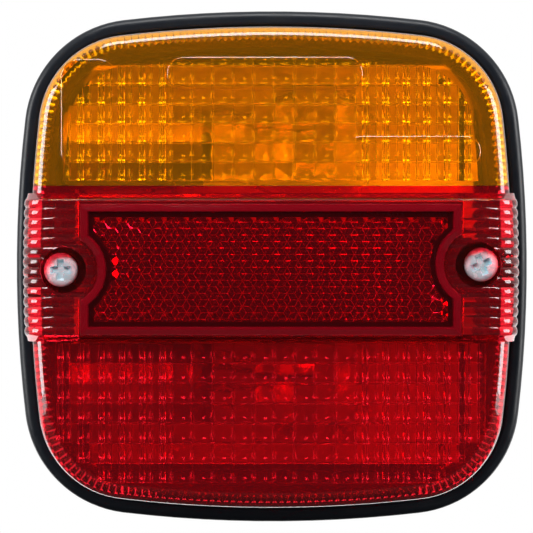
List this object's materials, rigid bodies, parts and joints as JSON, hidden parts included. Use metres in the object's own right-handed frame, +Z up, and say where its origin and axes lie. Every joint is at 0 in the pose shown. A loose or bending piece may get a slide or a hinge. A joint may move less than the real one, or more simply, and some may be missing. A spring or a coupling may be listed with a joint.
{
  "type": "trailer tail light",
  "caption": "Square trailer rear lamp: amber indicator over red stop and tail lens, reflex reflector in a ribbed centre band, rubber rim and rear studs.",
  "frame": {"origin": "middle of the lamp's mounting face, on the back of the foam gasket", "axes": "+X to the right and +Z up as seen from in front, +Y out of the back along the mounting studs; the lens faces -Y"},
  "size_m": [0.1, 0.0618, 0.1],
  "materials": {
    "black_abs": "satin",
    "foam": "matt",
    "rubber": "satin",
    "zinc_steel": "bright zinc plated",
    "spring_steel": "bright",
    "metallised": "vacuum metallised",
    "brass": "bright",
    "nickelled_brass": "nickel plated",
    "phenolic": "satin",
    "vitrite": "glossy",
    "solder": "satin",
    "tungsten": "bright",
    "bulb_glass": "clear",
    "amber_acrylic": "clear tinted, glossy",
    "red_acrylic": "clear tinted, glossy",
    "reflex_red": "clear tinted, glossy",
    "reflex_backing": "satin"
  },
  "bodies": {
    "base": {"base_housing": "black_abs", "light_baffles": "black_abs", "mounting_gasket": "foam", "rim_seal": "rubber", "cable_grommet": "rubber", "mounting_bolts": "zinc_steel", "bolt_seals": "rubber", "upper_reflector": "metallised", "lower_reflector": "metallised", "terminal_block": "black_abs", "terminal_screws": "zinc_steel", "indicator_feed_strip": "brass", "tail_feed_strip": "brass", "stop_feed_strip": "brass", "earth_strip": "brass", "bracket_rivets": "zinc_steel", "indicator_socket": "zinc_steel", "indicator_bracket": "zinc_steel", "indicator_end_insulator": "phenolic", "indicator_contact_springs": "spring_steel", "tail_socket": "zinc_steel", "tail_bracket": "zinc_steel", "tail_end_insulator": "phenolic", "tail_contact_springs": "spring_steel"},
    "indicator_contact": {"indicator_contact_disc": "phenolic", "indicator_contact_rivets": "brass"},
    "indicator_bulb": {"indicator_bulb_glass": "bulb_glass", "indicator_bulb_cap": "nickelled_brass", "indicator_bulb_insulator": "vitrite", "indicator_bulb_contacts": "solder", "indicator_bulb_filament": "tungsten"},
    "tail_contact": {"tail_contact_disc": "phenolic", "tail_contact_rivets": "brass"},
    "tail_bulb": {"tail_bulb_glass": "bulb_glass", "tail_bulb_cap": "nickelled_brass", "tail_bulb_insulator": "vitrite", "tail_bulb_contacts": "solder", "tail_bulb_filament": "tungsten"},
    "lens": {"lens_amber": "amber_acrylic", "lens_red": "red_acrylic", "reflex_reflector": "reflex_red", "reflex_backing": "reflex_backing"},
    "oring_left": {"screw_oring_left": "rubber"},
    "screw_left": {"lens_screw_left": "zinc_steel"},
    "oring_right": {"screw_oring_right": "rubber"},
    "screw_right": {"lens_screw_right": "zinc_steel"}
  },
  "joints": [
    {"name": "lens_lift", "type": "slide", "parent": "base", "child": "lens", "axis": [0, -1, 0], "range_m": [0, 0.045]},
    {"name": "screw_left_travel", "type": "slide", "parent": "lens", "child": "oring_left", "axis": [0, -1, 0], "range_m": [0, 0.008]},
    {"name": "screw_left_turn", "type": "hinge", "parent": "oring_left", "child": "screw_left", "pos_m": [-0.0397, -0.037, -0.0005], "axis": [0, -1, 0], "range_deg": [0, 2304.02]},
    {"name": "screw_right_travel", "type": "slide", "parent": "lens", "child": "oring_right", "axis": [0, -1, 0], "range_m": [0, 0.008]},
    {"name": "screw_right_turn", "type": "hinge", "parent": "oring_right", "child": "screw_right", "pos_m": [0.0397, -0.037, 0.0005], "axis": [0, -1, 0], "range_deg": [0, 2304.02]},
    {"name": "indicator_bulb_push", "type": "slide", "parent": "base", "child": "indicator_bulb", "axis": [-1, 0, 0], "range_m": [0, 0.002], "stiffness_N_per_m": 1800, "springref_m": -0.0035},
    {"name": "indicator_contact_travel", "type": "slide", "parent": "base", "child": "indicator_contact", "axis": [-1, 0, 0], "range_m": [0, 0.0021], "deforming": ["indicator_contact_springs"]},
    {"name": "tail_bulb_push", "type": "slide", "parent": "base", "child": "tail_bulb", "axis": [-1, 0, 0], "range_m": [0, 0.002], "stiffness_N_per_m": 1800, "springref_m": -0.0035},
    {"name": "tail_contact_travel", "type": "slide", "parent": "base", "child": "tail_contact", "axis": [-1, 0, 0], "range_m": [0, 0.0021], "deforming": ["tail_contact_springs"]}
  ],
  "couplings": [
    {"joint": "screw_left_turn", "follows": "screw_left_travel", "rad_per_m": 5026.5},
    {"joint": "screw_right_turn", "follows": "screw_right_travel", "rad_per_m": 5026.5},
    {"joint": "indicator_contact_travel", "follows": "indicator_bulb_push", "ratio": 1},
    {"joint": "tail_contact_travel", "follows": "tail_bulb_push", "ratio": 1}
  ]
}
